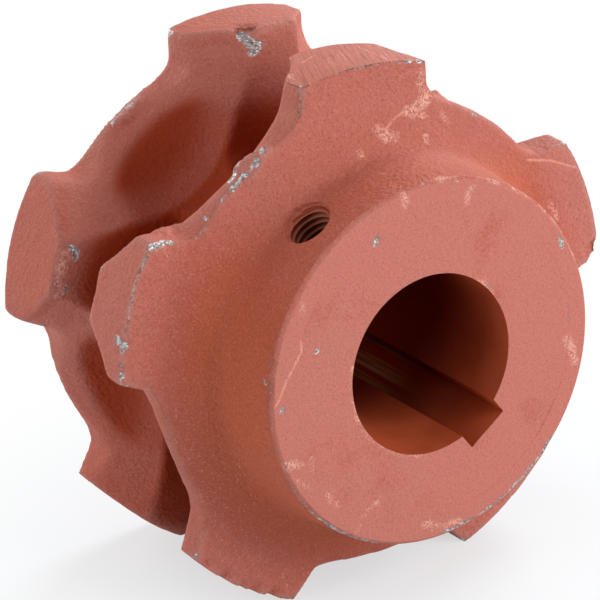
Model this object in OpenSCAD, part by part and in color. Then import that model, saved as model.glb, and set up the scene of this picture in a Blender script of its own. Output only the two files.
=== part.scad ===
// Chain pocket wheel with five pockets, cast in one piece with its hub.
// The axis lies along Y with the hub towards -Y, and the wheel stands on two
// pairs of teeth. The origin is on the axis, midway between the two cheeks.

/* [Chain] */
// Wire diameter of the round-link chain
chain_wire = 10; // [9:0.5:11]
// Inside length of a link, which is the pitch
chain_pitch = 31; // [30:0.5:32]
// Outside width of a link
chain_width = 36; // [34:0.5:37]

/* [Toothed rim] */
// Diameter over the tips of the teeth
tip_d = 118; // [114:0.5:122]
// Diameter of the rim between the teeth
root_d = 100.4; // [98:0.2:103]
// Width over both cheeks, measured along the axis
rim_w = 51.6; // [48:0.2:56]
// Width of a tooth across its flanks at the tip
tooth_tip_w = 28.6; // [26:0.2:31]
// Slope of each flank against the tooth's centre line
flank_angle = 6; // [3:0.5:8]
// Radius of the fillet where a tooth meets the rim
root_fillet = 4; // [3:0.25:4.5]
// Depth ground off the tooth at the top of the front cheek
ground_off = 1.6; // [0.5:0.1:2]

/* [Pockets] */
// Radius of the bowl in the middle of a pocket
bowl_r = 21; // [20:0.25:22]
// Clearance between the flat link and the lowest point of the bowl
bowl_clear = 8; // [7:0.5:9]
// Depth of the guides below the rim, where the bowl is widest
guide_depth = 2.5; // [2:0.25:3]
// Radius of the guides along the rim, where the bowl is widest
guide_sweep = 36; // [34:0.5:38]
// Slope of the guides towards the middle of the wheel
guide_slope = 38; // [36:0.5:40]

/* [Slot for the upright links] */
// Width of the slot at its floor
slot_w = 14; // [12:0.5:15]
// Width of the slot below the chamfered tips of the teeth
slot_top_w = 16; // [15:0.5:18]
// Chamfer along the slot at the tips of the teeth
slot_chamfer = 2; // [1:0.25:3]
// Clearance between the upright link and the slot's floor
slot_clear = 1.5; // [1:0.25:3]
// Radius of the floor along the rim
slot_sweep = 70; // [60:5:80]
// Radius of the corners between the floor and the walls
slot_corner = 4; // [2:0.5:5]

/* [Hub] */
// Diameter of the hub at its face
hub_d = 77; // [74:0.5:79]
// Length of the hub, from the front cheek to its face
hub_len = 20.8; // [18:0.2:26]
// Draft of the hub's side
hub_draft = 6; // [2:0.5:7]
// Chamfer round the hub's face
hub_chamfer = 0.8; // [0.4:0.1:1.5]
// Radius of the hollow between the cheek and the hub
hollow_r = 20; // [17:0.5:22]
// Diameter at which the hollow starts on the cheek
hollow_d = 108; // [106:0.5:110]
// Radius of the fillet at the foot of the hub
hub_fillet = 4; // [2:0.5:5]

/* [Bore and keyway] */
// Diameter of the bore
bore_d = 38; // [30:1:40]
// Width of the keyway
key_w = 10; // [8:1:12]
// Depth of the keyway below the wall of the bore
key_depth = 3.3; // [2.8:0.1:3.8]
// Angle of the keyway, clockwise from the top as seen from the hub
key_angle = 143; // [0:1:359]

/* [Set screw] */
// Thread size of the set screw
screw_d = 10; // [8:1:12]
// Thread pitch
screw_pitch = 1.5; // [1.25:0.25:1.75]
// Distance of the screw's centre from the hub's face
screw_inset = 9.9; // [8:0.1:12]
// Angle of the set screw, clockwise from the top as seen from the hub
screw_angle = 326; // [300:1:350]

/* [Hidden] */
$fn = 96;
// Room that a cut takes past the surface it starts from
over = 1;
// What a fillet's circle is larger by, so that it crosses the faces it joins
hair = 0.01;
pockets = 5;
sector = 360 / pockets;
tip_r = tip_d / 2;
root_r = root_d / 2;
hub_r = hub_d / 2;
bore_r = bore_d / 2;
front = -rim_w / 2;
back = rim_w / 2;
hub_face = front - hub_len;
hollow_end = hollow_d / 2;

// Five flat and five upright links lie round the wheel as a ten-sided figure.
// The wire of one link lies in the bend of the next, so the flat links sit
// lower than the sides of the figure and the upright links sit higher. The
// bowl's middle is past the rim, at bowl_h from the axis.
half_bend = sector / 4;
side_h = chain_pitch / 2 / tan(half_bend);
wire_shift = chain_wire / 2 * tan(half_bend);
bowl_h = side_h - wire_shift - chain_wire / 2 - bowl_clear + bowl_r;
slot_floor = side_h + wire_shift - chain_width / 2 - slot_clear;

// The set screw's hole opens on the hub's drafted side
screw_seat = hub_r + screw_inset * tan(hub_draft);
core_r = (screw_d - screw_pitch) / 2;
screw_chamfer = 0.8;

// Turns its children from the top of the wheel to an angle, clockwise as
// seen from the hub.
module at_angle(angle) {
    rotate([0, angle, 0])
        children();
}

// Extrudes a drawing of the XZ plane along the axis, from y0 to y1.
module along_axis(y0, y1) {
    translate([0, y1, 0])
        rotate([90, 0, 0])
            linear_extrude(y1 - y0)
                children();
}

// Revolves a profile of radius and distance along the axis.
module turned() {
    rotate([-90, 0, 0])
        rotate_extrude()
            children();
}

// Foot of a flank: the corner between the flank and the rim, filled up to the
// fillet.
module foot() {
    normal = [cos(flank_angle), sin(flank_angle)];
    down = [sin(flank_angle), -cos(flank_angle)];
    reach = root_r + root_fillet;
    start = [tooth_tip_w / 2, tip_r] + root_fillet * normal;
    half = start * down;
    travel = -half - sqrt(half * half - start * start + reach * reach);
    middle = start + travel * down;
    difference() {
        polygon([
            middle - (root_fillet + over) * normal,
            middle,
            middle * (root_r - over) / reach
        ]);
        translate(middle)
            circle(root_fillet + hair);
    }
}

// Outline of the gap between two teeth, seen between the teeth at the top and
// on its right.
module gap_outline() {
    tip_half = tooth_tip_w / 2;
    slope = tan(flank_angle);
    top = tip_r + over;
    low = root_r - over;
    right = [tip_half - over * slope, top];
    foot_right = [tip_half + (tip_r - low) * slope, low];
    turn = [[cos(sector), sin(sector)], [-sin(sector), cos(sector)]];
    left = turn * [-right.x, right.y];
    foot_left = turn * [-foot_right.x, foot_right.y];
    difference() {
        polygon([right, right + left, left, foot_left, foot_right]);
        circle(root_r, $fn = 180);
        foot();
        rotate(-sector)
            mirror([1, 0])
                foot();
    }
}

// Outline of a cheek: the rim with its five teeth.
module cheek_outline() {
    difference() {
        circle(tip_r, $fn = 180);
        for (i = [0:pockets - 1])
            rotate(-i * sector)
                gap_outline();
    }
}

// Fillet at the foot of the hub: the corner between the hub's side and the
// hollow, filled up to the fillet.
module hub_foot() {
    normal = [cos(hub_draft), -sin(hub_draft)];
    along = [sin(hub_draft), cos(hub_draft)];
    hollow = [hollow_end, front - hollow_r];
    start = [hub_r, hub_face] + hub_fillet * normal - hollow;
    reach = hollow_r - hub_fillet;
    half = start * along;
    travel = -half + sqrt(half * half - start * start + reach * reach);
    middle = hollow + start + travel * along;
    difference() {
        polygon([
            middle - (hub_fillet + over) * normal,
            middle,
            hollow + (middle - hollow) * (hollow_r + over) / reach
        ]);
        translate(middle)
            circle(hub_fillet + hair);
    }
}

// Section of the space round the hub, in front of the cheek, with the hollow
// that leads from the cheek down to the hub.
module hub_space() {
    rise = (hub_len + over) * tan(hub_draft);
    outer = tip_r + 2 * over;
    difference() {
        polygon([
            [hub_r - hub_chamfer - over, hub_face - over],
            [outer, hub_face - over],
            [outer, front],
            [hub_r + rise, front],
            [hub_r + hub_chamfer * tan(hub_draft), hub_face + hub_chamfer],
            [hub_r - hub_chamfer, hub_face]
        ]);
        difference() {
            translate([hub_r - over, front - hollow_r / 2])
                square([hollow_end - hub_r + over, hollow_r / 2 + over]);
            translate([hollow_end, front - hollow_r])
                circle(hollow_r + hair);
        }
        hub_foot();
    }
}

// Section of the whole wheel from the axis out, past the teeth.
module wheel_section() {
    difference() {
        translate([0, hub_face])
            square([tip_r + over, back - hub_face]);
        hub_space();
    }
}

// Guides of a pocket, which lead a link from the teeth down to the bowl: a
// double cone whose axis lies across the wheel, above the pocket. It meets the
// bowl's edge at side_y on each side.
module guides() {
    guide_h = root_r - guide_depth;
    side_y = sqrt(bowl_r * bowl_r - (bowl_h - guide_h) * (bowl_h - guide_h));
    outer_y = back + over;
    low_y = slot_w / 2 - over;
    low_r = guide_sweep + (side_y - low_y) * tan(guide_slope);
    outer_r = guide_sweep - (outer_y - side_y) * tan(guide_slope);
    translate([0, 0, guide_h + guide_sweep])
        turned()
            polygon([
                [0, -outer_y],
                [outer_r, -outer_y],
                [low_r, -low_y],
                [low_r, low_y],
                [outer_r, outer_y],
                [0, outer_y]
            ]);
}

// Everything that is hollowed out for one flat link.
module pocket() {
    guides();
    translate([0, 0, bowl_h])
        sphere(bowl_r);
}

// Section of the slot, with y across it and x the distance from the middle
// of its curved floor.
module slot_section() {
    tip_x = slot_sweep - tip_r + slot_floor;
    chamfer_x = tip_x + slot_chamfer;
    top_half = slot_top_w / 2;
    low_half = slot_w / 2;
    open_half = top_half + slot_chamfer + over;
    slope = atan((top_half - low_half) / (slot_sweep - chamfer_x));
    corner_x = slot_sweep - slot_corner;
    corner_y = low_half + slot_corner * (tan(slope) - 1 / cos(slope));
    edge_y = corner_y + (slot_corner + over) * cos(slope);
    difference() {
        polygon([
            [tip_x - over, -open_half],
            [tip_x - over, open_half],
            [chamfer_x, top_half],
            [slot_sweep, low_half],
            [slot_sweep, -low_half],
            [chamfer_x, -top_half]
        ]);
        for (side = [0, 1])
            mirror([0, side])
                difference() {
                    polygon([
                        [corner_x, corner_y],
                        [slot_sweep + over, corner_y],
                        [slot_sweep + over, low_half + over],
                        [corner_x + slot_corner * sin(slope), edge_y]
                    ]);
                    translate([corner_x, corner_y])
                        circle(slot_corner + hair);
                }
    }
}

// Slot for one upright link, through the middle of a pair of teeth.
module slot() {
    translate([0, 0, slot_floor + slot_sweep])
        turned()
            slot_section();
}

// What is ground off the top tooth of the front cheek.
module ground_tip() {
    along_axis(front - over, 0)
        difference() {
            translate([-tooth_tip_w, root_r])
                square([2 * tooth_tip_w, tip_r + over - root_r]);
            circle(tip_r - ground_off, $fn = 180);
        }
}

module bore() {
    along_axis(hub_face - over, back + over)
        circle(bore_r);
}

module keyway() {
    at_angle(key_angle)
        along_axis(hub_face - over, back + over)
            translate([-key_w / 2, 0])
                square([key_w, bore_r + key_depth]);
}

// Tapped hole for the set screw, at its core diameter, with a chamfered mouth.
module screw_hole() {
    mouth_r = core_r + screw_chamfer;
    at_angle(screw_angle)
        translate([0, hub_face + screw_inset, 0]) {
            cylinder(r = core_r, h = screw_seat);
            translate([0, 0, screw_seat - screw_chamfer])
                cylinder(r1 = core_r, r2 = mouth_r, h = screw_chamfer);
            translate([0, 0, screw_seat])
                cylinder(r = mouth_r, h = root_r - screw_seat);
        }
}

module pocket_wheel() {
    color("firebrick")
    difference() {
        intersection() {
            turned()
                wheel_section();
            along_axis(hub_face - over, back + over)
                cheek_outline();
        }
        for (i = [0:pockets - 1]) {
            at_angle((i + 0.5) * sector)
                pocket();
            at_angle(i * sector)
                slot();
        }
        ground_tip();
        bore();
        keyway();
        screw_hole();
    }
}

pocket_wheel();
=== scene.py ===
import math
from contextlib import contextmanager

import bpy
import numpy as np
from mathutils import Matrix, Vector
from mathutils.kdtree import KDTree


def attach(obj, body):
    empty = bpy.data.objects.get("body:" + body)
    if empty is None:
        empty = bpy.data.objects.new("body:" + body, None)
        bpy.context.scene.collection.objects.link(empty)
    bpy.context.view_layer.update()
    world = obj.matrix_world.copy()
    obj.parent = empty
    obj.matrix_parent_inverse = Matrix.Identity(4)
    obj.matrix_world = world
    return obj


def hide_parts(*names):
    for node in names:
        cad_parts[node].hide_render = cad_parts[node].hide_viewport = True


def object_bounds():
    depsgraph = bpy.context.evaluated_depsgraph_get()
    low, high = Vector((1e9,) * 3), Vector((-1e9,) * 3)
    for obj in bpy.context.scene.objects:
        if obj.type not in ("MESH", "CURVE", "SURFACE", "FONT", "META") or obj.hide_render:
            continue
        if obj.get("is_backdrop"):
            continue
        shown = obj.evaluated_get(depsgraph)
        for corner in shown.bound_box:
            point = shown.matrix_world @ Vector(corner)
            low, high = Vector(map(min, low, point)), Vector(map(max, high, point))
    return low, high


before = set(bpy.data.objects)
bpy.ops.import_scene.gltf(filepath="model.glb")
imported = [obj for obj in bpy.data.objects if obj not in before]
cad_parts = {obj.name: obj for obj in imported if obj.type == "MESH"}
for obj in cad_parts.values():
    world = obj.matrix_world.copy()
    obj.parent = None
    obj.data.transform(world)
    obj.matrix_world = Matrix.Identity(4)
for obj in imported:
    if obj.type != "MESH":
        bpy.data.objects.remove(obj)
CAD_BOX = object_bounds()

bl_info = {
    "name": "Chain pocket wheel",
    "version": (1, 0, 0),
    "blender": (4, 5, 0),
    "location": "3D View > Sidebar > Pocket wheel",
    "description": "Builds a cast chain pocket wheel in red primer and its studio",
    "category": "Object",
}

MM = 0.001
# Points nearer than this are one point
SEAM = 1e-6


# Selecting and finishing

def only(*objects):
    """Selects just these objects in object mode, the first one active."""
    if bpy.context.object and bpy.context.object.mode != "OBJECT":
        bpy.ops.object.mode_set(mode="OBJECT")
    bpy.ops.object.select_all(action="DESELECT")
    for obj in objects:
        obj.select_set(True)
    bpy.context.view_layer.objects.active = objects[0]


@contextmanager
def editing(obj):
    """Edit mode with all of a mesh selected, left at the end."""
    only(obj)
    bpy.ops.object.mode_set(mode="EDIT")
    bpy.ops.mesh.select_all(action="SELECT")
    yield
    bpy.ops.object.mode_set(mode="OBJECT")


def apply(obj, kind, **settings):
    """Applies a modifier of a kind with these settings."""
    only(obj)
    modifier = obj.modifiers.new(kind, kind)
    for key, value in settings.items():
        setattr(modifier, key, value)
    bpy.ops.object.modifier_apply(modifier=modifier.name)


def remove(obj):
    """Deletes an object."""
    only(obj)
    bpy.ops.object.delete()


def carve(obj, cutter, operation="DIFFERENCE"):
    """Joins or cuts a solid with another, which it deletes."""
    apply(obj, "BOOLEAN", operation=operation, object=cutter, solver="EXACT")
    remove(cutter)


def place(obj, turn=None, shift=None):
    """Turns an object about the origin, moves it, and applies both."""
    only(obj)
    if turn is not None:
        obj.matrix_world = turn.to_4x4() @ obj.matrix_world
    if shift is not None:
        obj.matrix_world = Matrix.Translation(shift) @ obj.matrix_world
    bpy.ops.object.transform_apply(location=True, rotation=True, scale=True)


def round_bar(radius, start, end, sides=128, end_radius=None):
    """A bar or cone along Z, from one height to another."""
    bpy.ops.mesh.primitive_cone_add(
        vertices=sides,
        radius1=radius,
        radius2=radius if end_radius is None else end_radius,
        depth=end - start,
        location=(0, 0, (start + end) / 2),
    )
    bar = bpy.context.object
    place(bar)
    return bar


def block(size, middle):
    """A box with its sides along the axes."""
    bpy.ops.mesh.primitive_cube_add(size=1, location=middle)
    box = bpy.context.object
    box.scale = size
    place(box)
    return box


def turned(name, outline, steps, closed):
    """A solid turned about the wheel's axis, its outline given as radius and Y."""
    count = len(outline)
    edges = [(i, (i + 1) % count) for i in range(count if closed else count - 1)]
    mesh = bpy.data.meshes.new(name)
    mesh.from_pydata([(radius, y, 0) for radius, y in outline], edges, [])
    solid = bpy.data.objects.new(name, mesh)
    bpy.context.collection.objects.link(solid)
    with editing(solid):
        bpy.ops.mesh.spin(steps=steps, angle=2 * math.pi, center=(0, 0, 0), axis=(0, 1, 0))
        bpy.ops.mesh.select_all(action="SELECT")
        bpy.ops.mesh.remove_doubles(threshold=SEAM)
        bpy.ops.mesh.normals_make_consistent(inside=False)
    return solid


def along_axis():
    """Turn that lays a Z bar along Y."""
    return Matrix.Rotation(math.radians(-90), 3, "X")


def at_angle(angle):
    """Turn about the wheel's axis, clockwise as seen from the hub."""
    return Matrix.Rotation(angle, 3, "Y")


def rows(items, name, kind=float):
    """A vector of each item, one to a row."""
    flat = np.empty(len(items) * 3, dtype=kind)
    items.foreach_get(name, flat)
    return flat.reshape(-1, 3)


def points_of(obj):
    return rows(obj.data.vertices, "co")


def normals_of(obj):
    return rows(obj.data.vertex_normals, "vector", np.float32)


def set_points(obj, co):
    """Moves an object's points to new places."""
    obj.data.vertices.foreach_set("co", co.ravel())
    obj.data.update()


def radius_of(co):
    """Distance of each point from the wheel's axis."""
    return np.hypot(co[:, 0], co[:, 2])


def angle_of(co, whole=360):
    """Degrees clockwise from the top, counted anew after each whole."""
    return np.degrees(np.arctan2(co[:, 0], co[:, 2])) % whole


def close_to(angle, middle):
    """Cosine of the way from each angle to another, both in degrees."""
    return np.cos(np.radians(angle - middle))


def ramp(value, start, end):
    """Smooth step of an array from 0 at start to 1 at end."""
    t = np.clip((value - start) / (end - start), 0, 1)
    return t * t * (3 - 2 * t)


def slope(size, start, end):
    """Smooth step of sizes between two in millimetres."""
    return ramp(size, start * MM, end * MM)


def group(obj, name, weight):
    """Vertex group with a weight for each vertex, in steps."""
    levels = 16
    made = obj.vertex_groups.new(name=name)
    step = np.rint(weight * levels).astype(int)
    for level in range(1, levels + 1):
        chosen = np.flatnonzero(step == level)
        if len(chosen):
            made.add(chosen.tolist(), level / levels, "REPLACE")
    return name


def smooth(obj, rounds, weight=None):
    """Smooths an object, all of it or by a weight for each vertex."""
    settings = {"factor": 0.5, "iterations": rounds}
    if weight is not None:
        settings["vertex_group"] = group(obj, "smoothed", weight)
    apply(obj, "SMOOTH", **settings)
    obj.vertex_groups.clear()


def smoothed(co, edges, rounds):
    """Points drawn towards their neighbours, a number of times."""
    count = np.maximum(np.bincount(edges.ravel(), minlength=len(co)), 1)
    out = co.copy()
    for _ in range(rounds):
        for axis in range(3):
            value = out[:, axis]
            total = np.bincount(edges[:, 0], value[edges[:, 1]], len(co))
            total += np.bincount(edges[:, 1], value[edges[:, 0]], len(co))
            out[:, axis] = total / count
    return out


def distance(co, places):
    """Distance of each point from a line through some places, in millimetres."""
    spots = np.array(places)
    here = co / MM
    if len(spots) == 1:
        return np.linalg.norm(here - spots[0], axis=1)
    nearest = np.full(len(co), np.inf)
    for start, end in zip(spots[:-1], spots[1:]):
        run = end - start
        along = np.clip((here - start) @ run / max(run @ run, 1e-9), 0, 1)
        gap = np.linalg.norm(here - start - along[:, None] * run, axis=1)
        nearest = np.minimum(nearest, gap)
    return nearest


def reach(co, marks):
    """How far each point lies outside the nearest of some marks, in millimetres."""
    return np.min([distance(co, places) - radius for radius, *places in marks], axis=0)


# Sizes that a user would change

class WheelSizes(bpy.types.PropertyGroup):
    """Sizes of the casting's finish."""
    bore_r: bpy.props.FloatProperty(
        name="Bore radius", description="Radius of the bore",
        default=19 * MM, unit="LENGTH")
    key_width: bpy.props.FloatProperty(
        name="Keyway width", description="Width of the keyway",
        default=10 * MM, unit="LENGTH")
    key_depth: bpy.props.FloatProperty(
        name="Keyway depth", description="Depth of the keyway below the bore",
        default=3.3 * MM, unit="LENGTH")
    key_angle: bpy.props.FloatProperty(
        name="Keyway angle", description="Clockwise from the top, seen from the hub",
        default=math.radians(143), subtype="ANGLE")
    thread_d: bpy.props.FloatProperty(
        name="Thread size", description="Outside diameter of the set screw's thread",
        default=10 * MM, unit="LENGTH")
    thread_pitch: bpy.props.FloatProperty(
        name="Thread pitch", description="Pitch of the set screw's thread",
        default=1.5 * MM, unit="LENGTH")
    voxel: bpy.props.FloatProperty(
        name="Skin detail", description="Spacing of the casting's skin",
        default=0.85 * MM, unit="LENGTH")
    primer: bpy.props.FloatVectorProperty(
        name="Primer", description="Colour of the red primer",
        default=(0.43, 0.093, 0.054), subtype="COLOR")
    iron: bpy.props.FloatVectorProperty(
        name="Bare iron", description="Colour of the iron where the primer is gone",
        default=(0.54, 0.55, 0.55), subtype="COLOR")


class StudioSizes(bpy.types.PropertyGroup):
    """Sizes of the floor and its light."""
    floor: bpy.props.FloatProperty(
        name="Floor", description="Side of the floor",
        default=6.0, unit="LENGTH")
    light: bpy.props.FloatProperty(
        name="Light", description="Power of the soft lights, as a share",
        default=1.0, subtype="FACTOR")
    dome: bpy.props.FloatProperty(
        name="Dome", description="Strength of the light from all round",
        default=0.07)


# The casting

# Along the axis: the cheeks' outer faces and the hub's face
FRONT = -25.8 * MM
BACK = 25.8 * MM
HUB_FACE = -46.6 * MM
# The hub, its draft and its chamfer
HUB_R = 38.5 * MM
DRAFT = math.tan(math.radians(6))
CHAMFER = 0.8 * MM
# The set screw's hole: its place along the axis, its bearing and where it starts
SCREW_Y = -36.7 * MM
SCREW_ANGLE = math.radians(326)
SCREW_SEAT = 38.93 * MM
# The teeth, and the top one's ground land
PITCH = 72
TIP_R = 59.1 * MM
GROUND_R = 57.25 * MM
# Middle and radius of a pocket's bowl
BOWL_H = 54.08 * MM
BOWL_R = 21 * MM

# Faults of this casting. Angles are in degrees, clockwise as seen from the hub.
# The slot's core sat to the front on one side, most at this angle
CORE_SHIFT = 2.6 * MM
CORE_SIDE = 265
# The far teeth on both sides of this pocket are stouter, by a share of their angle
STOUT_POCKET = 324
STOUTER = 0.022
# The outside of the hub is off the axis
HUB_X = 0.8 * MM
HUB_Z = -0.2 * MM


def arc(radius, y, start, end, x=0, z=0):
    """Places on a circle about a line along Y, in millimetres and degrees."""
    longest = 5
    steps = max(1, math.ceil(abs(end - start) / longest))
    turns = [math.radians(start + (end - start) * i / steps) for i in range(steps + 1)]
    return [(x + radius * math.sin(turn), y, z + radius * math.cos(turn)) for turn in turns]


def hub_edge(start, end, inset=0):
    """Places on the hub's chamfer, a little way in from its outer edge."""
    return arc((HUB_R - inset) / MM, (HUB_FACE + CHAMFER - inset) / MM, start, end,
               HUB_X / MM, HUB_Z / MM)


def on_face(*marks):
    """Marks on the hub's face, their places given as X and Z."""
    return [(radius, *((x, HUB_FACE / MM, z) for x, z in places)) for radius, *places in marks]


# Where the primer is knocked off: a radius, and the places it runs through.
BARE = (
    (0.42, *hub_edge(128, 178, inset=CHAMFER)),
    (0.36, *hub_edge(203, 228)),
    (0.2, *hub_edge(229, 243)),
    (1.4, (-7.0, 9.6, 57.0), (-6.0, 8.7, 56.0), (-4.9, 7.9, 55.0), (-5.6, 8.1, 53.8)),
    (0.6, (-3.3, 7.9, 55.4), (-1.8, 8.0, 56.2)),
    (0.8, (-30.9, 23.6, 39.6), (-28.4, 23.9, 41.4), (-26.2, 23.7, 42.8), (-24.3, 24.0, 43.9)),
    (0.7, (-26.0, -26.2, 42.7), (-27.4, -26.2, 41.6), (-29.1, -26.2, 40.7), (-30.5, -26.2, 39.8),
     (-32.1, -26.2, 38.5)),
    (0.8, (-27.9, -23.2, 41.7), (-29.3, -23.6, 40.7), (-30.9, -23.9, 39.5)),
    (0.35, (-33.3, -26.2, 37.5), (-34.7, -25.7, 36.3)),
    (0.4, (-37.4, -23.9, 33.5), (-37.5, -25.3, 33.3)),
    (0.5, (-45.5, -25.6, 30.5), (-47.2, -25.5, 30.9), (-48.6, -25.8, 30.9), (-50.0, -25.8, 30.4)),
    (0.8, (-51.9, 5.6, 21.8), (-51.1, 5.5, 20.7), (-51.4, 5.5, 19.7)),
    (0.45, (-53.9, 5.7, 15.3), (-53.8, 5.6, 13.4)),
    (0.8, (-57.6, -23.2, 12.6), (-57.7, -25.0, 12.2), (-57.3, -25.8, 11.9)),
    (0.5, (-58.0, -25.7, 10.8), (-57.7, -25.7, 12.4)),
    (0.6, (-58.3, -25.8, 8.4), (-58.6, -25.8, 6.8), (-58.5, -25.8, 5.5)),
    (0.8, (10.6, -25.8, 56.4), (13.4, -23.7, 55.8), (13.3, -25.7, 55.8)),
    (0.8, (-8.1, -12.8, 56.8), (-7.0, -12.5, 57.0)),
    (0.5, (-14.7, -24.2, 55.3), (-14.2, -24.5, 55.6)),
    (0.3, (31.7, -46.5, 20.4)),
    (0.35, (25.4, -26.3, 42.3), (26.7, -26.3, 41.8)),
    (0.3, (6.6, -46.4, 37.3), (8.1, -46.3, 37.2)),
    (0.5, (-36.8, -45.3, 9.1)), (0.5, (-37.0, -46.0, 7.1)),
    (0.5, (-37.7, -44.4, 5.5)),
    (0.6, (-37.3, -46.0, 4.9), (-37.3, -46.1, 3.7)),
    (0.5, (-27.4, -46.0, -26.8), (-25.7, -46.2, -28.1)),
    (0.5, (-23.1, -46.3, -30.2), (-20.4, -46.5, -31.9), (-17.9, -46.2, -33.6)),
    *on_face(
        (0.5, (-12.1, 29.4), (-12.9, 28.2)),
        (0.7, (32.4, 19.0), (32.7, 17.9)), (0.45, (-26.8, 9.7)),
        (0.5, (-35.2, -0.4)), (0.3, (-26.5, 16.0)),
        (0.35, (14.3, 13.4), (15.0, 12.4)), (0.4, (33.7, 3.9)),
        (0.5, (34.4, 1.0)),
    ),
)

# Edges rubbed down to a thin grey line.
RUBBED = (
    (0.2, (-50.2, -25.8, 30.2), (-51.7, -25.8, 28.3), (-53.4, -25.3, 25.1), (-55.0, -25.6, 21.5),
     (-56.0, -25.8, 17.4), (-56.9, -25.8, 14.5)),
    (0.3, (-57.7, -25.8, 4.1), (-56.6, -25.8, 2.2), (-52.6, -25.8, 1.2)),
    (0.12, (-14.2, -25.3, 55.6), (-10.1, -25.5, 56.5), (-4.7, -25.8, 57.1), (-0.7, -25.8, 57.0),
     (3.1, -25.8, 56.9), (6.5, -25.8, 56.5), (10.3, -25.8, 55.8)),
    (0.25, (-14.7, -25.0, 54.8), (-14.9, -25.1, 53.3), (-15.2, -25.0, 50.8), (-15.4, -24.5, 49.5)),
    (0.25, (-37.4, -26.2, 33.1), (-38.6, -26.2, 31.6), (-40.5, -26.1, 30.3)),
)

# Pale scuffs in the primer.
SCUFFED = (
    (0.35, *arc(19.1, -46.6, 190, 285)),
    (0.3, *arc(19.1, -46.6, 30, 62)),
    (0.4, *hub_edge(358, 388)),
    (0.3, *hub_edge(30, 75)),
    (1.5, (1.1, -28.5, 43.9), (2.4, -29.0, 43.1), (3.9, -29.2, 42.7)),
    (1.4, (9.7, -26.9, 46.4), (12.5, -26.5, 47.2), (14.4, -26.3, 47.6)),
    (0.7, (9.9, -27.3, 45.4), (12.8, -27.3, 44.6)),
    (0.6, (17.4, -26.8, 44.4), (18.3, -27.2, 42.9)),
    (0.5, (11.5, -29.0, 41.5), (11.3, -30.0, 40.1)),
    (1.2, (12.9, -25.8, 52.8), (13.3, -25.8, 51.1)),
    (0.5, (15.6, -26.0, 48.6), (17.1, -26.2, 47.1)),
    (1.2, (-53.5, 5.9, 20.8), (-53.9, 5.9, 18.5), (-54.9, 6.0, 15.9), (-55.3, 6.0, 12.8)),
    (0.4, (9.8, -45.3, 37.4), (13.4, -45.4, 36.2), (16.1, -45.6, 35.1)),
    (0.5, (-4.5, -29.9, 41.6), (-4.9, -30.8, 40.5)),
    (0.3, (-5.0, -37.6, 39.2), (-4.2, -40.5, 38.9), (-2.5, -40.8, 39.0)),
    (0.4, (-48.0, -25.8, 30.5), (-47.0, -25.8, 28.9), (-46.3, -25.8, 26.7)),
    (1.3, (-12.5, -17.5, 56.0), (-11.1, -18.2, 56.3), (-12.6, -22.9, 56.0)),
    (0.6, (44.9, -26.6, 18.4), (46.9, -26.3, 15.4)),
    (0.5, (-5.7, -46.5, 37.3), (-5.4, -46.6, 34.9)),
    *on_face(
        (0.7, (11.0, 35.2), (9.8, 34.2), (9.5, 32.4)),
        (0.7, (-35.0, -12.0), (-31.8, -13.1)),
        (0.7, (-32.2, -16.2), (-30.0, -18.2), (-29.3, -19.6)),
        (0.5, (-29.0, -12.6), (-28.9, -15.0)),
        (0.5, (-25.4, -20.4), (-25.1, -23.5), (-23.4, -24.0)),
        (0.3, (-19.0, -31.1), (-16.9, -27.7), (-13.5, -26.1)),
        (0.9, (34.2, -3.4), (35.2, -6.3), (36.0, -8.5)),
        (0.7, (-2.3, -34.6), (1.7, -36.1), (5.5, -36.3)),
        (0.6, (-29.9, 19.7), (-29.3, 18.2)),
    ),
)

# Fine scratches.
SCRATCHED = (
    (0.16, (7.7, -14.0, 56.9), (7.5, -17.9, 56.9), (6.5, -24.4, 57.0)),
    (0.16, (-7.6, -14.5, 56.9), (-3.7, -12.9, 57.3)),
    (0.16, (8.2, -27.0, 46.5), (5.4, -27.5, 45.5), (2.6, -28.4, 44.0)),
    *on_face(
        (0.2, (-30.0, 12.8), (-30.4, 10.2), (-32.3, 7.6), (-34.0, 5.3), (-35.3, 2.7),
         (-36.8, 0.4)),
    ),
)

# Straight scratches too fine for the mesh.
FINE_LINES = (
    ((38.1, -26.3, 29.8), (46.0, -25.9, 27.9)),
    ((46.0, -25.9, 27.9), (55.2, -25.9, 23.8)),
    ((7.6, -12.0, 56.8), (6.5, -25.4, 57.0)),
    ((-7.6, -14.5, 56.9), (-3.7, -12.9, 57.2)),
)

# Lumps of flash left along the parting edges.
FLASH = (
    (1.6, (-23.8, -25.0, 44.2), (-25.4, -24.9, 43.3), (-26.8, -23.7, 42.5), (-28.3, -23.4, 41.5)),
    (0.9, (-24.8, -26.5, 42.1), (-25.9, -26.6, 40.8), (-27.8, -26.6, 39.5)),
    (1.6, (-44.9, -20.6, 30.4), (-42.5, -18.6, 29.9), (-41.5, -19.7, 30.2)),
    (1.1, (-30.5, 22.9, 39.7), (-28.5, 22.5, 40.7), (-26.4, 22.2, 42.1), (-25.2, 22.1, 43.2)),
    (1.6, (20.4, -20.5, 45.9), (22.5, -18.0, 44.9), (25.0, -14.0, 43.5)),
)

# The dark edge of the chip at the top.
CRACKS = (
    (0.5, (-7.4, 11.0, 58.1), (-6.3, 11.2, 58.3), (-5.0, 10.4, 58.4), (-4.2, 9.3, 58.1)),
)

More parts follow.
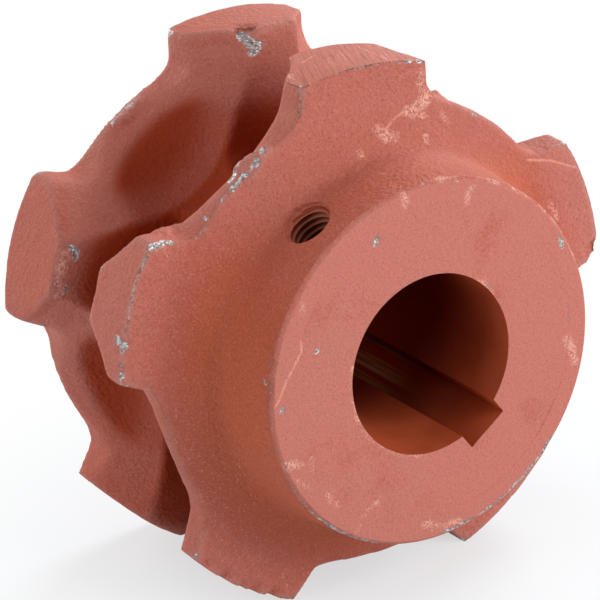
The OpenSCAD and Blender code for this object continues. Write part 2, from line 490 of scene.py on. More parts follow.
# Dents and chips in the casting.
DENTS = (
    (1.7, (-6.6, 10.2, 58.2), (-5.4, 9.5, 58.4)),
    (0.6, (-31.6, 23.1, 39.0), (-30.2, 22.2, 39.1), (-28.6, 21.5, 39.6), (-26.7, 21.4, 41.0),
     (-25.3, 21.6, 42.4)),
    (0.9, (-57.7, -25.3, 12.3)), (0.8, (-58.3, -25.8, 7.2)),
    (1.0, (13.3, -25.7, 55.8)), (0.8, (-14.5, -24.7, 55.5)),
    (1.9, (57.4, -26.0, 5.2), (57.2, -15.0, 5.2)),
    (1.0, (-42.5, -25.8, -40.1)), (1.2, (-38.4, -25.8, -44.1)),
    (0.9, (-34.1, -25.8, -47.6)), (1.3, (-31.5, -25.8, -49.1)),
    (1.4, (-27.5, -25.8, -52.0)),
)

# Nicks in the hub's turned edge: a radius, and the angles it runs between.
NICKS = tuple((radius, *hub_edge(start, end)) for radius, start, end in (
    (0.7, 284, 284), (0.8, 275, 278), (0.6, 234, 234), (0.8, 225, 225),
    (0.7, 215, 215), (0.6, 205, 205), (0.7, 59, 59), (0.5, 65, 65),
))


def solid_hub():
    """The hub without its holes, just under the wheel's skin."""
    inside = 0.02 * MM
    deep = 13 * MM
    return turned("hub", [
        (0, HUB_FACE + inside), (HUB_R - 0.85 * MM, HUB_FACE + inside),
        (HUB_R - inside, HUB_FACE + 0.83 * MM),
        (HUB_R + deep * DRAFT - inside, HUB_FACE + deep),
        (30 * MM, 0), (24 * MM, BACK - inside), (0, BACK - inside),
    ], steps=180, closed=False)


def turned_edge():
    """The hub's turned edge with its chamfer, just proud of the cast skin."""
    step = 0.8 * MM
    steps = 5
    bottom = HUB_FACE + 3.5 * MM
    outline = [(HUB_R - CHAMFER - step * i, HUB_FACE) for i in range(steps, -1, -1)]
    outline += [
        (HUB_R, HUB_FACE + CHAMFER),
        (HUB_R + 0.1 * MM, HUB_FACE + 1.7 * MM),
        (HUB_R - 2 * MM, bottom),
        (HUB_R - CHAMFER - step * steps, bottom),
    ]
    ring = turned("edge", outline, steps=280, closed=True)
    place(ring, shift=(HUB_X, 0, HUB_Z))
    return ring


def stock():
    """What the top tooth had before it was ground, as a block on its tip."""
    tip = block((28.4 * MM, 17.3 * MM, 4.6 * MM), (0, -17.1 * MM, 56.4 * MM))
    # The guides leave the land narrower towards the slot, mostly on the left
    co = points_of(tip)
    inner = co[:, 1] > -17 * MM
    co[inner, 0] *= np.where(co[inner, 0] < 0, 0.52, 0.97)
    set_points(tip, co)
    return tip


def rough_casting(sizes):
    """A copy of the wheel with its holes filled and a dense even skin."""
    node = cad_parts["pocket_wheel"]
    only(node)
    bpy.ops.object.duplicate()
    wheel = bpy.context.object
    with editing(wheel):
        bpy.ops.mesh.remove_doubles(threshold=SEAM)
    wheel.data.materials.clear()
    hub = solid_hub()
    tip = stock()
    only(wheel, hub, tip)
    bpy.ops.object.join()
    apply(wheel, "REMESH", mode="VOXEL", voxel_size=sizes.voxel)
    return wheel


def core_side(angle):
    """How near each angle is to where the core sat to the front, up to 1."""
    return (close_to(angle, CORE_SIDE) * 0.5 + 0.5) ** 2


def trim_tips(co):
    """Keeps points within the radius of the teeth's tips."""
    co[:, ::2] /= np.maximum(radius_of(co) / TIP_R, 1)[:, None]


def cast_faults(co, normal):
    """Makes some far teeth stouter and moves the slot as the core did."""
    radius, angle = radius_of(co), angle_of(co)
    core = 1 - slope(np.abs(co[:, 1]), 12, 25)
    far_tooth = slope(radius, 47, 52) * slope(co[:, 1], 5, 9)
    stout = far_tooth * ramp(close_to(angle, STOUT_POCKET), 0.55, 0.9)
    from_middle = (angle + PITCH / 2) % PITCH - PITCH / 2
    wider = np.radians(from_middle * STOUTER) * stout
    # The right side of the top far tooth stands further left, most below its tip
    leaning = 1.1 + 1.3 * (1 - slope(radius, 54, 58))
    wider -= np.radians(leaning) * ramp(angle, 3, 10) * (far_tooth * (angle < 30))
    x, z = co[:, 0].copy(), co[:, 2].copy()
    co[:, 0] = x * np.cos(wider) + z * np.sin(wider)
    co[:, 2] = z * np.cos(wider) - x * np.sin(wider)
    grown = 0.3 + 0.75 * slope(co[:, 1], 19, 24)
    co += normal * (grown * MM * stout)[:, None]
    # Some stock on all the tips, which the rounding takes back
    spare = 0.5 + 0.5 * slope(co[:, 1], 2, 6)
    longer = 1 + slope(radius, 50, 55) * spare * MM / np.maximum(radius, 1 * MM)
    co[:, ::2] *= longer[:, None]
    co[:, 1] -= CORE_SHIFT * core_side(angle) * core * slope(radius, 26, 34)


def soften(wheel):
    """Gives the skin this casting's faults and rounds its edges."""
    smooth(wheel, 2)
    co = points_of(wheel)
    cast_faults(co, normals_of(wheel))
    set_points(wheel, co)
    smooth(wheel, 3)
    co = points_of(wheel)
    radius, height = radius_of(co), np.abs(co[:, 1])
    smooth(wheel, 1, slope(radius, 27, 31) * (1 - slope(height, 23, 24.8)))
    # The lips between the pockets and the rim are rounded most
    from_pocket = np.abs(angle_of(co, PITCH) - PITCH / 2)
    lip = slope(radius, 46, 48.5) * slope(height, 19, 22)
    lip *= (1 - slope(height, 24.4, 25.6)) * (1 - ramp(from_pocket, 24, 30) * 0.7)
    smooth(wheel, 8, lip)
    # The far teeth have the roundest corners
    corner = slope(radius, 51, 55) * slope(co[:, 1], 2, 6)
    co = points_of(wheel)
    trim_tips(co)
    set_points(wheel, co)
    smooth(wheel, 9, corner)
    co = points_of(wheel)
    hub = slope(-co[:, 1], 26, 33) * (1 - slope(radius_of(co), 41, 50))
    set_points(wheel, co + hub[:, None] * (HUB_X, 0, HUB_Z))


def knock(wheel, *kinds):
    """Raises or sinks the skin along marks, by a share of each mark's radius."""
    co = points_of(wheel)
    normal = normals_of(wheel)
    rough = np.sin(co @ (1900, 1300, 0)) * np.sin(co @ (0, 1700, 2100)) * 0.5 + 0.5
    lift = np.zeros(len(co))
    for marks, share in kinds:
        for radius, *places in marks:
            gap = distance(co, places)
            near = 1 - ramp(gap, 0.4 * radius, 1.5 * radius)
            lift += share * radius * near * (0.5 + 0.5 * rough)
    set_points(wheel, co + normal * lift[:, None] * MM)


def cast_skin(wheel):
    """Makes the skin a little uneven, as sand leaves it."""
    for name, size, strength in (("swell", 14, 0.5), ("ripple", 4, 0.22)):
        texture = bpy.data.textures.new(name, "CLOUDS")
        texture.noise_scale = size * MM
        texture.noise_depth = 2
        apply(wheel, "DISPLACE", texture=texture, strength=strength * MM,
              mid_level=0.5, texture_coords="LOCAL")


def measure(wheel):
    """The skin's points, and how far each stands out in millimetres."""
    co = points_of(wheel)
    edges = np.empty(len(wheel.data.edges) * 2, dtype=np.int64)
    wheel.data.edges.foreach_get("vertices", edges)
    around = smoothed(co, edges.reshape(-1, 2), rounds=24)
    return co, ((co - around) * normals_of(wheel)).sum(axis=1) / MM


def thread_groove(sizes, core):
    """The helical groove of a thread, as a solid round a core hole."""
    crest = sizes.thread_d / 2
    inner = core - 0.05 * MM
    root = 0.06 * sizes.thread_pitch
    mouth = 0.45 * sizes.thread_pitch
    start, end = 14 * MM, 48 * MM
    bpy.ops.mesh.primitive_plane_add(size=1)
    groove = bpy.context.object
    set_points(groove, np.array([
        (crest, 0, start - root), (crest, 0, start + root),
        (inner, 0, start - mouth), (inner, 0, start + mouth),
    ]))
    with editing(groove):
        bpy.ops.mesh.delete(type="ONLY_FACE")
    turns = math.ceil((end - start) / sizes.thread_pitch)
    apply(groove, "SCREW", axis="Z", angle=2 * math.pi, screw_offset=sizes.thread_pitch,
          iterations=turns, steps=32, render_steps=32, use_smooth_shade=False)
    with editing(groove):
        bpy.ops.mesh.fill_holes(sides=8)
        bpy.ops.mesh.normals_make_consistent(inside=False)
    return groove


def screw_cutters(sizes):
    """What cuts the set screw's hole: the core, the thread and the mouth."""
    core = sizes.thread_d / 2 - 0.54 * sizes.thread_pitch
    mouth = sizes.thread_d / 2 + 0.25 * MM
    yield round_bar(core, 12 * MM, 50 * MM, sides=49)
    yield thread_groove(sizes, core)
    yield round_bar(core - 0.1 * MM, SCREW_SEAT - 1.6 * MM, SCREW_SEAT - 0.3 * MM, sides=64,
                    end_radius=mouth)
    yield round_bar(mouth, SCREW_SEAT - 0.31 * MM, SCREW_SEAT + 6 * MM, sides=64)


def grinding_wheel():
    """What cuts the top tooth's land: all that lies above it."""
    above = block((50 * MM, 28 * MM, 20 * MM), (0, -16 * MM, 60 * MM))
    below = round_bar(GROUND_R, -40 * MM, 20 * MM, sides=251)
    place(below, turn=along_axis())
    carve(above, below)
    return above


def close_seams(wheel):
    """Closes the seams that the cuts leave."""
    with editing(wheel):
        bpy.ops.mesh.remove_doubles(threshold=SEAM)
        bpy.ops.mesh.delete_loose()
        bpy.ops.mesh.select_all(action="DESELECT")
        bpy.ops.mesh.select_mode(type="EDGE")
        bpy.ops.mesh.select_non_manifold(extend=False)
        bpy.ops.mesh.fill_holes(sides=12)
        bpy.ops.mesh.select_all(action="SELECT")
        bpy.ops.mesh.normals_make_consistent(inside=False)


def machine(wheel, sizes):
    """Faces the hub, bores it, and cuts the keyway, the screw hole and the top tooth."""
    co = points_of(wheel)
    co[:, 1] = np.clip(co[:, 1], HUB_FACE + 0.03 * MM, BACK)
    trim_tips(co)
    set_points(wheel, co)
    carve(wheel, turned_edge(), "UNION")
    bore = round_bar(sizes.bore_r, -60 * MM, 60 * MM, sides=160)
    place(bore, turn=along_axis())
    carve(wheel, bore)
    reach_of_key = sizes.bore_r + sizes.key_depth
    key = block((sizes.key_width, 120 * MM, reach_of_key), (0, 0, reach_of_key / 2))
    place(key, turn=at_angle(sizes.key_angle))
    carve(wheel, key)
    for cutter in screw_cutters(sizes):
        place(cutter, shift=(0, SCREW_Y, 0))
        place(cutter, turn=at_angle(SCREW_ANGLE))
        carve(wheel, cutter)
    carve(wheel, grinding_wheel())
    close_seams(wheel)
    knock(wheel, (NICKS, -0.6))


def store(wheel, name, values):
    """Keeps a value for each point, which the finish reads."""
    layer = wheel.data.attributes.new(name, "FLOAT", "POINT")
    layer.data.foreach_set("value", np.ascontiguousarray(values, dtype=np.float32))


def recesses(co, radius, angle):
    """Painted shade in the bowls and in the slot."""
    middle = np.radians(angle - (angle // PITCH * PITCH + PITCH / 2))
    across = radius * np.sin(middle)
    up = radius * np.cos(middle)
    height = np.abs(co[:, 1])
    moved = CORE_SHIFT * core_side(angle) * (1 - slope(height, 10, 24))
    before = np.abs(co[:, 1] + moved)
    bowl = np.sqrt(across ** 2 + (up - BOWL_H) ** 2 + before ** 2) - BOWL_R
    bowls = (1 - slope(bowl, -0.4, 1.8)) * (1 - slope(up, 44.4, 48.2))
    bowls *= slope(radius, 27, 29) * (0.3 + 0.7 * slope(before, 11, 17))
    bowls *= height < 22 * MM
    # The slot's painted shade reaches furthest out on the left, and right to the tips low down
    # there
    limit = (38 + 14 * core_side(angle) + 9 * ramp(close_to(angle, 228), 0.8, 0.95)) * MM
    slots = 1 - slope(before, 7.4, 8.8)
    slots *= slope(radius, 27, 29) * (1 - ramp(radius, limit - 3 * MM, limit + 5 * MM))
    return bowls, slots


def painted_light_places(co, radius, slots):
    """Painted light: paler on the teeth, more towards the right and less on the back teeth at the
    left and bottom, high on the front and on the guides.
    """
    tips = slope(radius, 46, 56) * (0.5 + 0.5 * slope(co[:, 0], 15, 45))
    left = slope(-co[:, 0], 46, 53)
    low = 1 - slope(co[:, 2], -40, -15)
    tips *= 1 - 0.75 * np.minimum((co[:, 1] > 0) * (left + low), 1)
    high = slope(co[:, 2], 22, 40) * slope(radius, 38.6, 40) * (co[:, 1] < 0)
    guides = slope(radius, 42, 47) * (1 - slope(np.abs(co[:, 1]), 20, 25))
    guides *= (1 - slots) * slope(co[:, 2], -30, -10)
    guides *= 1 - slope(radius, 56, 58)
    return np.maximum(tips, np.maximum(high * 0.65, guides * 0.75))


def round_screw(co):
    """How far out along the screw's hole each point lies, and how far off its middle."""
    axis = np.array((math.sin(SCREW_ANGLE), 0, math.cos(SCREW_ANGLE)))
    from_screw = co - (0, SCREW_Y, 0)
    out = from_screw @ axis
    return out, np.linalg.norm(from_screw - out[:, None] * axis, axis=1)


def paint_marks(wheel, skin, stands_out):
    """Works out where the primer is worn, scuffed or gone, and where painted shade and painted
    light go.
    """
    co = points_of(wheel)
    tree = KDTree(len(skin))
    for index, point in enumerate(skin):
        tree.insert(point, index)
    tree.balance()
    near = [tree.find(point)[1] for point in co]
    store(wheel, "edge", stands_out[near])
    for name, marks in (("bare", BARE), ("rubbed", RUBBED), ("scuffed", SCUFFED),
                        ("scratched", SCRATCHED), ("cracked", CRACKS)):
        store(wheel, name, reach(co, marks))
    radius, angle = radius_of(co), angle_of(co)
    from_face = co[:, 1] - HUB_FACE
    from_hub = np.hypot(co[:, 0] - HUB_X, co[:, 2] - HUB_Z)
    store(wheel, "rim", np.hypot(from_hub - HUB_R, from_face) / MM)
    store(wheel, "face", 1 - slope(from_face, 0.02, 0.3))
    # Painted shade in the bowls and the slots
    bowls, slots = recesses(co, radius, angle)
    store(wheel, "recess_shade", np.maximum(bowls, slots))
    # Painted shade round the hub: darker and more orange, less so towards the top
    front = co[:, 1] < FRONT + 1 * MM
    hollow = (1 - slope(radius, 42, 50)) * slope(from_face, 0.8, 2)
    hollow *= front * (1 - 0.75 * slope(co[:, 2], 8, 34))
    store(wheel, "hollow", hollow)
    # Painted light on the teeth, high on the front and on the guides
    store(wheel, "tips", painted_light_places(co, radius, slots))
    low = slope(-co[:, 2], 2, 16)
    store(wheel, "grit", low * slope(radius, 39, 41) * front)
    ground = (np.abs(radius - GROUND_R) < 0.08 * MM) & (co[:, 1] < -6 * MM)
    ground &= close_to(angle, 0) > 0.9
    store(wheel, "ground", ground.astype(float))
    out, core = round_screw(co)
    store(wheel, "crest", (1 - slope(core, 4.22, 4.6)) * (out > 0))


def sort_faces(wheel, sizes):
    """Gives the bore, the keyway and the thread their own finish."""
    middle = rows(wheel.data.polygons, "center")
    radius = radius_of(middle)
    turn = at_angle(sizes.key_angle)
    key = middle @ np.array(turn @ Vector((0, 0, 1)))
    side = np.abs(middle @ np.array(turn @ Vector((1, 0, 0))))
    slack = 0.02 * MM
    inside = (middle[:, 1] > HUB_FACE + slack) & (middle[:, 1] < BACK + slack)
    bored = inside & (radius < sizes.bore_r + slack)
    keyed = inside & (key > 0) & (key < sizes.bore_r + sizes.key_depth + slack)
    keyed &= (side < sizes.key_width / 2 + slack) & (radius < sizes.bore_r + 5 * MM)
    out, core = round_screw(middle)
    tapped = (core < sizes.thread_d / 2 + slack) & (out > 0) & (out < SCREW_SEAT - 0.9 * MM)
    slot = np.zeros(len(middle), dtype=np.int32)
    slot[bored | keyed] = 1
    slot[tapped] = 2
    wheel.data.polygons.foreach_set("material_index", slot)


# Finishes

class Wire:
    """A value in a tree of nodes. It works in sums, each of which adds a Math node."""

    def __init__(self, nodes, socket):
        self.nodes = nodes
        self.socket = socket

    def sum(self, operation, first, second):
        return self.nodes.add("ShaderNodeMath", {"operation": operation}, {0: first, 1: second})

    def __add__(self, other):
        return self.sum("ADD", self, other)

    def __radd__(self, other):
        return self.sum("ADD", other, self)

    def __sub__(self, other):
        return self.sum("SUBTRACT", self, other)

    def __rsub__(self, other):
        return self.sum("SUBTRACT", other, self)

    def __mul__(self, other):
        return self.sum("MULTIPLY", self, other)

    def __rmul__(self, other):
        return self.sum("MULTIPLY", other, self)

    def __or__(self, other):
        return self.sum("MAXIMUM", self, other)


class Nodes:
    """A tree of nodes, with the ways to add to it."""

    def __init__(self, tree):
        self.tree = tree

    def add(self, kind, settings=None, inputs=None, output=0):
        """Adds a node of a type: its settings first, then values or links."""
        node = self.tree.nodes.new(kind)
        for key, value in (settings or {}).items():
            setattr(node, key, value)
        for key, value in (inputs or {}).items():
            self.feed(node.inputs[key], value)
        return Wire(self, node.outputs[output])

    def feed(self, socket, value):
        if isinstance(value, Wire):
            self.tree.links.new(value.socket, socket)
        else:
            socket.default_value = value

    def seen(self):
        """1 for the rays that see the floor and the background as they look."""
        camera, glossy, clear = [self.add("ShaderNodeLightPath", output=name) for name in (
            "Is Camera Ray", "Is Glossy Ray", "Is Transmission Ray")]
        return camera | glossy | clear


class Finish(Nodes):
    """The nodes of a material, with its shader and its patterns."""

    def __init__(self, name):
        self.material = bpy.data.materials.new(name)
        self.material.use_nodes = True
        super().__init__(self.material.node_tree)
        self.shader = self.tree.nodes["Principled BSDF"]

    def set(self, **values):
        """Sets sockets of the shader, their names written with underscores."""
        for key, value in values.items():
            self.feed(self.shader.inputs[key.replace("_", " ")], value)

    def place(self, turn=(0, 0, 0), stretch=(1, 1, 1)):
        """The place along turned axes, which then stretch the pattern."""
        here = self.add("ShaderNodeTexCoord", output="Object")
        return self.add("ShaderNodeMapping", {"vector_type": "TEXTURE"},
                        {"Vector": here, "Rotation": turn, "Scale": stretch})

    def along(self, axis, turn=(0, 0, 0)):
        """The place along one turned axis."""
        return self.add("ShaderNodeSeparateXYZ", {}, {"Vector": self.place(turn)}, output=axis)

    def noise(self, place, size, detail=2.0):
        """Noise with features of a size in millimetres."""
        return self.add("ShaderNodeTexNoise", {}, {
            "Vector": place, "Scale": 1 / (size * MM), "Detail": detail, "Roughness": 0.55})

    def vectors(self, operation, inputs, output=0):
        """Result of an operation on vectors."""
        return self.add("ShaderNodeVectorMath", {"operation": operation}, inputs, output)

    def from_line(self, start, end):
        """Distance in millimetres from a line between two places in millimetres."""
        first = Vector(start) * MM
        run = Vector(end) * MM - first
        way = run.normalized()
        here = self.vectors("SUBTRACT", {0: self.place(), 1: first})
        along = self.vectors("DOT_PRODUCT", {0: here, 1: way}, "Value")
        along = self.add("ShaderNodeClamp", {}, {"Value": along, "Max": run.length})
        foot = self.vectors("SCALE", {0: way, "Scale": along})
        gap = self.vectors("SUBTRACT", {0: here, 1: foot})
        return self.vectors("LENGTH", {0: gap}, "Value") * (1 / MM)

    def kept(self, name):
        """A value that the mesh keeps for each point."""
        return self.add("ShaderNodeAttribute", {"attribute_name": name}, output="Fac")

    def step(self, value, start, end):
        """Smooth step from 0 at start to 1 at end."""
        return self.add("ShaderNodeMapRange", {"interpolation_type": "SMOOTHSTEP"}, {
            "Value": value, "From Min": start, "From Max": end})

    def mix(self, share, first, second):
        """Mix of two colours."""
        return self.add("ShaderNodeMix", {"data_type": "RGBA"}, {0: share, 6: first, 7: second},
                        output=2)

    def coats(self, tint, *coats):
        """Mixes further colours over a first one, each by its share."""
        for share, colour in coats:
            tint = self.mix(share, tint, colour)
        return tint

    def bump(self, height):
        """Normal of a surface with a height in millimetres."""
        return self.add("ShaderNodeBump", {}, {"Height": height, "Distance": MM})


def rgb(red, green, blue):
    """A colour in linear light."""
    return (red, green, blue, 1)


class Tint:
    """Colours of the finishes."""
    DULL = rgb(0.385, 0.092, 0.061)
    MOTTLED = rgb(0.46, 0.14, 0.104)
    # Painted light on the teeth, high on the front and on the guides
    LIT_TIPS = rgb(0.50, 0.18, 0.142)
    # Painted shade round the hub
    HOLLOW_SHADE = rgb(0.47, 0.100, 0.037)
    FACE = rgb(0.49, 0.158, 0.119)
    PALE_GRAIN = rgb(0.60, 0.23, 0.18)
    DARK_GRAIN = rgb(0.27, 0.05, 0.03)
    # Painted shade in the bowls and the slots
    SHADED = rgb(0.37, 0.055, 0.017)
    DEEP_SHADE = rgb(0.29, 0.031, 0.004)
    GRIT = rgb(0.62, 0.33, 0.26)
    # Primer worn thin on edges, and painted highlight
    THIN_AND_HIGHLIGHT = rgb(0.45, 0.22, 0.185)
    GROUND = rgb(0.47, 0.145, 0.105)
    HUB_EDGE = rgb(0.42, 0.21, 0.175)
    SCUFF = rgb(0.74, 0.38, 0.30)
    SCRATCH = rgb(0.72, 0.30, 0.21)
    CUT_LINE = rgb(0.26, 0.055, 0.032)
    BRIGHT_LINE = rgb(0.62, 0.33, 0.27)
    CRACK = rgb(0.12, 0.030, 0.016)
    DARK_IRON = rgb(0.17, 0.16, 0.155)
    RUBBED_DARK = rgb(0.17, 0.09, 0.07)
    RUBBED_PALE = rgb(0.44, 0.37, 0.335)
    BORE = (rgb(0.46, 0.085, 0.030), rgb(0.52, 0.104, 0.040))
    # Painted shade deep in the bore
    BORE_SHADE = rgb(0.08, 0.003, 0.0008)
    OIL = rgb(0.13, 0.062, 0.022)
    THREAD = (rgb(0.22, 0.036, 0.012), rgb(0.30, 0.052, 0.020))
    CREST = rgb(0.40, 0.14, 0.095)
    FLOOR = rgb(0.74, 0.81, 0.87)
    WHITE = rgb(1, 1, 1)


# Bearing of the grinding lines across the top tooth's land
GRIND_TURN = math.radians(-112.4)


class Grain:
    """The noises in the cast skin, from broad to fine, and the values of its marks."""

    def __init__(self, paint):
        place = paint.place()
        self.broad = paint.noise(place, 24)
        self.mottle = paint.noise(place, 3.2, 3.0)
        self.sand = paint.noise(place, 1.0)
        self.dust = paint.noise(place, 0.42, 1.0)
        cells = paint.add("ShaderNodeTexVoronoi", {}, {"Vector": place, "Scale": 1 / (0.42 * MM)},
                          output="Color")
        self.sparkle = paint.add("ShaderNodeSeparateColor", {}, {"Color": cells})
        self.ragged = (self.mottle - 0.5) * 1.6 + (self.sand - 0.5) * 1.1
        self.speck = (self.dust - 0.5) * 0.9 + (self.sand - 0.5) * 0.7
        self.edge, self.face, self.rim, self.ground = map(
            paint.kept, ("edge", "face", "rim", "ground"))


def sprayed(paint, grain, red):
    """The primer's colour, paler on the face, with painted light on the teeth and painted shade in
    the pockets and round the hub.
    """
    dust, mottle = grain.dust, grain.mottle
    tint = paint.mix(paint.step(grain.broad, 0.3, 0.7), Tint.DULL, red)
    # Painted shade in the bowls and the slots
    recess_shade = paint.kept("recess_shade")
    grit = paint.kept("grit") * paint.step(dust + (mottle - 0.5) * 0.3, 0.7, 0.76)
    # Paler convex edges: primer worn thin, and painted highlight where the edges catch the light
    thin_and_highlight = paint.step(grain.edge + (mottle - 0.5) * 0.4, 0.45, 1.1)
    thin_and_highlight = thin_and_highlight * paint.step(grain.rim, 1.5, 3.5)
    band = 1 - paint.step(grain.rim + (mottle - 0.5) * 0.8, 0.5, 0.95)
    return paint.coats(
        tint,
        (paint.step(mottle + grain.speck, 0.3, 0.9) * 0.4, Tint.MOTTLED),
        # Painted light on the teeth, high on the front and on the guides
        (paint.kept("tips") * 0.6, Tint.LIT_TIPS),
        # Painted shade round the hub
        (paint.kept("hollow") * 0.7, Tint.HOLLOW_SHADE),
        (grain.face * 0.88, Tint.FACE),
        (paint.step(dust, 0.54, 0.76) * 0.35, Tint.PALE_GRAIN),
        ((1 - paint.step(dust, 0.26, 0.46)) * 0.4, Tint.DARK_GRAIN),
        # Painted shade in the bowls and the slots
        (paint.step(recess_shade, 0.1, 0.9) * 0.6, Tint.SHADED),
        (recess_shade, Tint.DEEP_SHADE),
        (grit * 0.5, Tint.GRIT),
        # Primer worn thin on edges, and painted highlight
        (thin_and_highlight * 0.3, Tint.THIN_AND_HIGHLIGHT),
        (grain.ground * 0.5, Tint.GROUND),
        (band * 0.35, Tint.HUB_EDGE),
    )


def bare_places(paint, grain):
    """Where the iron is bare: in marks, on the sharpest edges and round the hub's face."""
    mottle, broad = grain.mottle, grain.broad
    bare = 1 - paint.step(paint.kept("bare") + grain.ragged * 0.9, -0.2, 0.2)
    sharp = grain.edge + (mottle - 0.5) * 1.5 + (broad - 0.5) * 0.8
    nicked = paint.step(mottle * 0.55 + broad * 0.45, 0.56, 0.62)
    return bare | paint.step(sharp, 1.4, 1.6) | (1 - paint.step(grain.rim, 0.3, 0.8)) * nicked


def red_primer(sizes):
    """Matt red primer over the cast skin, scuffed and knocked off in places."""
    paint = Finish("red primer")
    grain = Grain(paint)
    sand, dust, mottle = grain.sand, grain.dust, grain.mottle
    scuffed = 1 - paint.step(paint.kept("scuffed") + grain.ragged * 2.2, -0.8, 0.5)
    scuffed = scuffed * paint.step(grain.speck, -0.2, 0.12)
    scratched = 1 - paint.step(paint.kept("scratched") + (sand - 0.5) * 0.5, 0.0, 0.22)
    for start, end in FINE_LINES:
        from_line = paint.from_line(start, end) + (sand - 0.5) * 0.5
        scratched = scratched | (1 - paint.step(from_line, 0.12, 0.4))
    # Grinding left fine lines aslant across the top tooth's land
    lines = paint.noise(paint.place(turn=(0, 0, GRIND_TURN), stretch=(30, 1, 30)), 0.38, 2.0)
    cut_lines = grain.ground * paint.step(lines, 0.5, 0.62)
    bright_lines = grain.ground * (1 - paint.step(lines, 0.31, 0.36))
    cracked = 1 - paint.step(paint.kept("cracked") + (sand - 0.5) * 0.6, 0.0, 0.35)
    worn = 1 - paint.step(paint.kept("rubbed") + grain.ragged * 0.35, 0.0, 0.3)
    rubbed = paint.mix(paint.step(sand + grain.speck * 0.5, 0.4, 0.62),
                       Tint.RUBBED_DARK, Tint.RUBBED_PALE)
    metal = bare_places(paint, grain)
    iron = paint.mix(paint.step(grain.sparkle * 0.7 + dust * 0.5, 0.4, 1.0),
                     Tint.DARK_IRON, rgb(*sizes.iron))
    tint = paint.coats(
        sprayed(paint, grain, rgb(*sizes.primer)),
        (scuffed * 0.85, Tint.SCUFF),
        (scratched * 0.65, Tint.SCRATCH),
        (cut_lines * 0.5, Tint.CUT_LINE),
        (bright_lines * 0.5, Tint.BRIGHT_LINE),
        (cracked * 0.75, Tint.CRACK),
        (worn * (paint.step(mottle, 0.36, 0.5) * 0.5 + 0.25), rubbed),
        (metal * 0.9, iron),
    )
    height = sand * 0.42 + dust * 0.12 + mottle * 0.3
    height = height * (1 - grain.face * 0.45) * (1 - grain.ground * 0.7)
    height = height - (metal | scuffed * 0.3) * 0.12 + metal * grain.sparkle * 0.1
    height = height - cut_lines * 0.05 - scratched * 0.04 - cracked * 0.3
    paint.set(
        Base_Color=tint,
        Metallic=metal * 0.5,
        Roughness=0.66 + (mottle - 0.5) * 0.12 - metal * 0.25,
        Specular_IOR_Level=0.18,
        Normal=paint.bump(height),
    )
    return paint.material


def bored_iron(sizes):
    """Wall of the bore and the keyway, red at the hub's end, with painted shade dark further in.
    """
    film = Finish("bored iron")
    streaks = film.noise(film.place(stretch=(1, 50, 1)), 1.5, 2.0)
    rings = film.noise(film.place(stretch=(50, 1, 50)), 0.5, 1.0)
    patches = film.noise(film.place(), 7)
    depth = film.along("Y")
    keyed = film.step(film.along("Z", turn=(0, sizes.key_angle, 0)),
                      sizes.bore_r - 0.5 * MM, sizes.bore_r + 0.5 * MM)
    # The bottom of the bore is red further in before the painted shade
    reached = depth + film.along("X") * 0.22 + film.along("Z") * 0.42 + keyed * (5 * MM)
    far = film.step(reached, HUB_FACE + 2 * MM, HUB_FACE + 31 * MM)
    oily = film.step(depth, HUB_FACE + 20 * MM, HUB_FACE + 45 * MM) * film.step(streaks, 0.42, 0.6)
    film.set(
        Base_Color=film.coats(
            film.mix(film.step(patches, 0.3, 0.7), *Tint.BORE),
            # Painted shade deep in the bore
            (far * 0.98, Tint.BORE_SHADE),
            (keyed * oily * 0.75, Tint.OIL),
        ),
        Roughness=0.6 + (patches - 0.5) * 0.2,
        Specular_IOR_Level=0.0,
        Normal=film.bump(rings * 0.02 + streaks * 0.02),
    )
    return film.material


def tapped_iron():
    """Thread of the set screw's hole, dark in its roots and pale on its crests."""
    cut = Finish("tapped iron")
    patches = cut.noise(cut.place(), 1.5)
    tint = cut.mix(cut.step(patches, 0.3, 0.7), *Tint.THREAD)
    tint = cut.mix(cut.step(cut.kept("crest"), 0.45, 0.9) * 0.9, tint, Tint.CREST)
    cut.set(Base_Color=tint, Roughness=0.5 + (patches - 0.5) * 0.15, Specular_IOR_Level=0.1)
    return cut.material


def pale_floor():
    """Pale floor near the wheel, white like the background further off."""
    floor = Finish("pale floor")
    here = floor.add("ShaderNodeTexCoord", output="Object")
    away = floor.vectors("LENGTH", {0: here}, "Value")
    floor.set(Base_Color=Tint.FLOOR, Roughness=0.85, Specular_IOR_Level=0.1)
    white = floor.add("ShaderNodeEmission", {}, {"Color": Tint.WHITE, "Strength": 1.0})
    share = floor.step(away, 0.04, 0.13) * 0.45 + 0.55
    result = floor.add("ShaderNodeMixShader", {}, {
        0: floor.seen() * share, 1: Wire(floor, floor.shader.outputs[0]), 2: white})
    floor.feed(floor.tree.nodes["Material Output"].inputs["Surface"], result)
    return floor.material


class WHEEL_OT_casting(bpy.types.Operator):
    """Build the casting with its rounded skin, bore, keyway and tapped hole"""
    bl_idname = "pocket_wheel.casting"
    bl_label = "Casting"

    def execute(self, context):
        sizes = context.scene.wheel_sizes
        wheel = rough_casting(sizes)
        wheel.name = "casting"
        soften(wheel)
        knock(wheel, (FLASH, 0.8), (DENTS, -0.9))
        cast_skin(wheel)
        skin, stands_out = measure(wheel)
        machine(wheel, sizes)
        paint_marks(wheel, skin, stands_out)
        only(wheel)
        bpy.ops.object.shade_smooth_by_angle(angle=math.radians(32))
        wheel.data.materials.clear()
        for finish in (red_primer(sizes), bored_iron(sizes), tapped_iron()):
            wheel.data.materials.append(finish)
        sort_faces(wheel, sizes)
        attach(wheel, "root")
        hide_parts("pocket_wheel")
        return {"FINISHED"}


# The studio

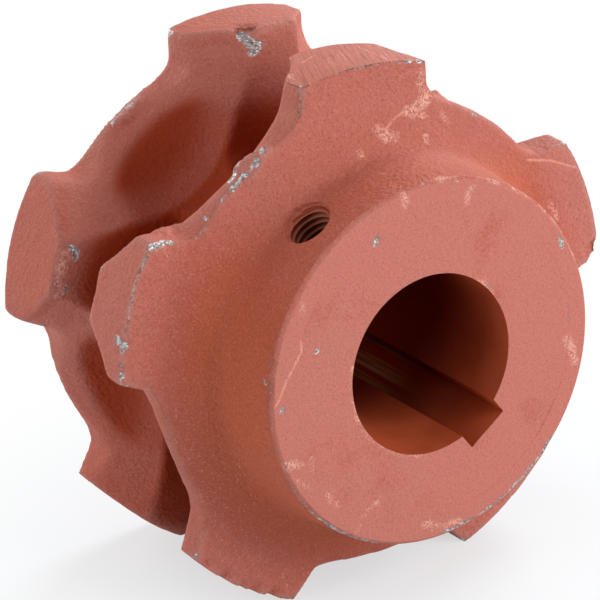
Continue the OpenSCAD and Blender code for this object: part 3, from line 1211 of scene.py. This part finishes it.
# Each soft light: bearing from the camera's side and height, in degrees,
# power in watts and size in metres
LIGHTS = (
    ("right", 60, 20, 9.3, 0.7),
    ("far right", 150, 40, 7.6, 0.5),
    ("far left", -125, 25, 5.0, 0.6),
    ("left", -60, 12, 3.9, 0.6),
    ("above", 0, 75, 1.8, 0.8),
)
# Where the camera stands, which way it looks and which way is up
CAMERA = Vector((-252.6, -412.9, 188.0)) * MM
CAMERA_WAY = Vector((0.4839, 0.7965, -0.3627))
CAMERA_UP = Vector((0.2273, 0.2858, 0.9309))
SENSOR = 36
LENS = 145.294


class WHEEL_OT_studio(bpy.types.Operator):
    """Set up the floor, the soft lights and the camera"""
    bl_idname = "pocket_wheel.studio"
    bl_label = "Studio"

    def execute(self, context):
        sizes = context.scene.studio_sizes
        lowest = points_of(bpy.data.objects["casting"])[:, 2].min()
        bpy.ops.mesh.primitive_plane_add(size=sizes.floor, location=(0, 0, lowest))
        floor = bpy.context.object
        floor.name = "floor"
        place(floor)
        floor.data.materials.append(pale_floor())
        floor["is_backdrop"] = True
        self.sky(context, sizes)
        self.lamps(sizes)
        self.camera(context)
        context.scene.view_settings.view_transform = "Standard"
        return {"FINISHED"}

    def lamps(self, sizes):
        """The soft lights, a metre from the wheel."""
        bearing = math.atan2(CAMERA.x, -CAMERA.y)
        for name, turn, height, power, size in LIGHTS:
            side = bearing + math.radians(turn)
            rise = math.radians(height)
            flat = math.cos(rise)
            towards = Vector((math.sin(side) * flat, -math.cos(side) * flat, math.sin(rise)))
            bpy.ops.object.light_add(type="AREA", location=towards)
            light = bpy.context.object
            light.name = name
            light.data.energy = power * sizes.light
            light.data.shape = "SQUARE"
            light.data.size = size
            light.rotation_euler = (-towards).to_track_quat("-Z", "Y").to_euler()

    def camera(self, context):
        """The camera, where the photographer's stood."""
        bpy.ops.object.camera_add()
        camera = bpy.context.object
        context.scene.camera = camera
        camera.data.sensor_width = SENSOR
        camera.data.lens = LENS
        camera.data.clip_start = 0.01
        camera.data.clip_end = 20
        back = -CAMERA_WAY.normalized()
        right = CAMERA_UP.cross(back).normalized()
        turn = Matrix((right, back.cross(right), back)).transposed()
        camera.matrix_world = Matrix.Translation(CAMERA) @ turn.to_4x4()

    def sky(self, context, sizes):
        """White where it is seen, and a weak light from all round."""
        world = bpy.data.worlds.new("studio")
        world.use_nodes = True
        nodes = Nodes(world.node_tree)
        background = nodes.tree.nodes["Background"]
        strength = nodes.add("ShaderNodeMix", {}, {0: nodes.seen(), 2: sizes.dome, 3: 1})
        nodes.feed(background.inputs["Color"], Tint.WHITE)
        nodes.feed(background.inputs["Strength"], strength)
        context.scene.world = world


class WHEEL_PT_panel(bpy.types.Panel):
    """Shows the sizes of the wheel and the studio, and the buttons that build them"""
    bl_label = "Pocket wheel"
    bl_idname = "WHEEL_PT_panel"
    bl_space_type = "VIEW_3D"
    bl_region_type = "UI"
    bl_category = "Pocket wheel"

    def draw(self, context):
        layout = self.layout
        for name in WheelSizes.__annotations__:
            layout.prop(context.scene.wheel_sizes, name)
        for name in StudioSizes.__annotations__:
            layout.prop(context.scene.studio_sizes, name)
        for operator in OPERATORS:
            layout.operator(operator.bl_idname)


OPERATORS = (WHEEL_OT_casting, WHEEL_OT_studio)
CLASSES = (WheelSizes, StudioSizes, *OPERATORS, WHEEL_PT_panel)


def register():
    for made in CLASSES:
        bpy.utils.register_class(made)
    bpy.types.Scene.wheel_sizes = bpy.props.PointerProperty(type=WheelSizes)
    bpy.types.Scene.studio_sizes = bpy.props.PointerProperty(type=StudioSizes)


def unregister():
    del bpy.types.Scene.studio_sizes
    del bpy.types.Scene.wheel_sizes
    for made in reversed(CLASSES):
        bpy.utils.unregister_class(made)


def main():
    register()
    bpy.ops.pocket_wheel.casting()
    bpy.ops.pocket_wheel.studio()
    sizes = [[list(corner) for corner in box] for box in (CAD_BOX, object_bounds())]


if __name__ == "__main__":
    main()
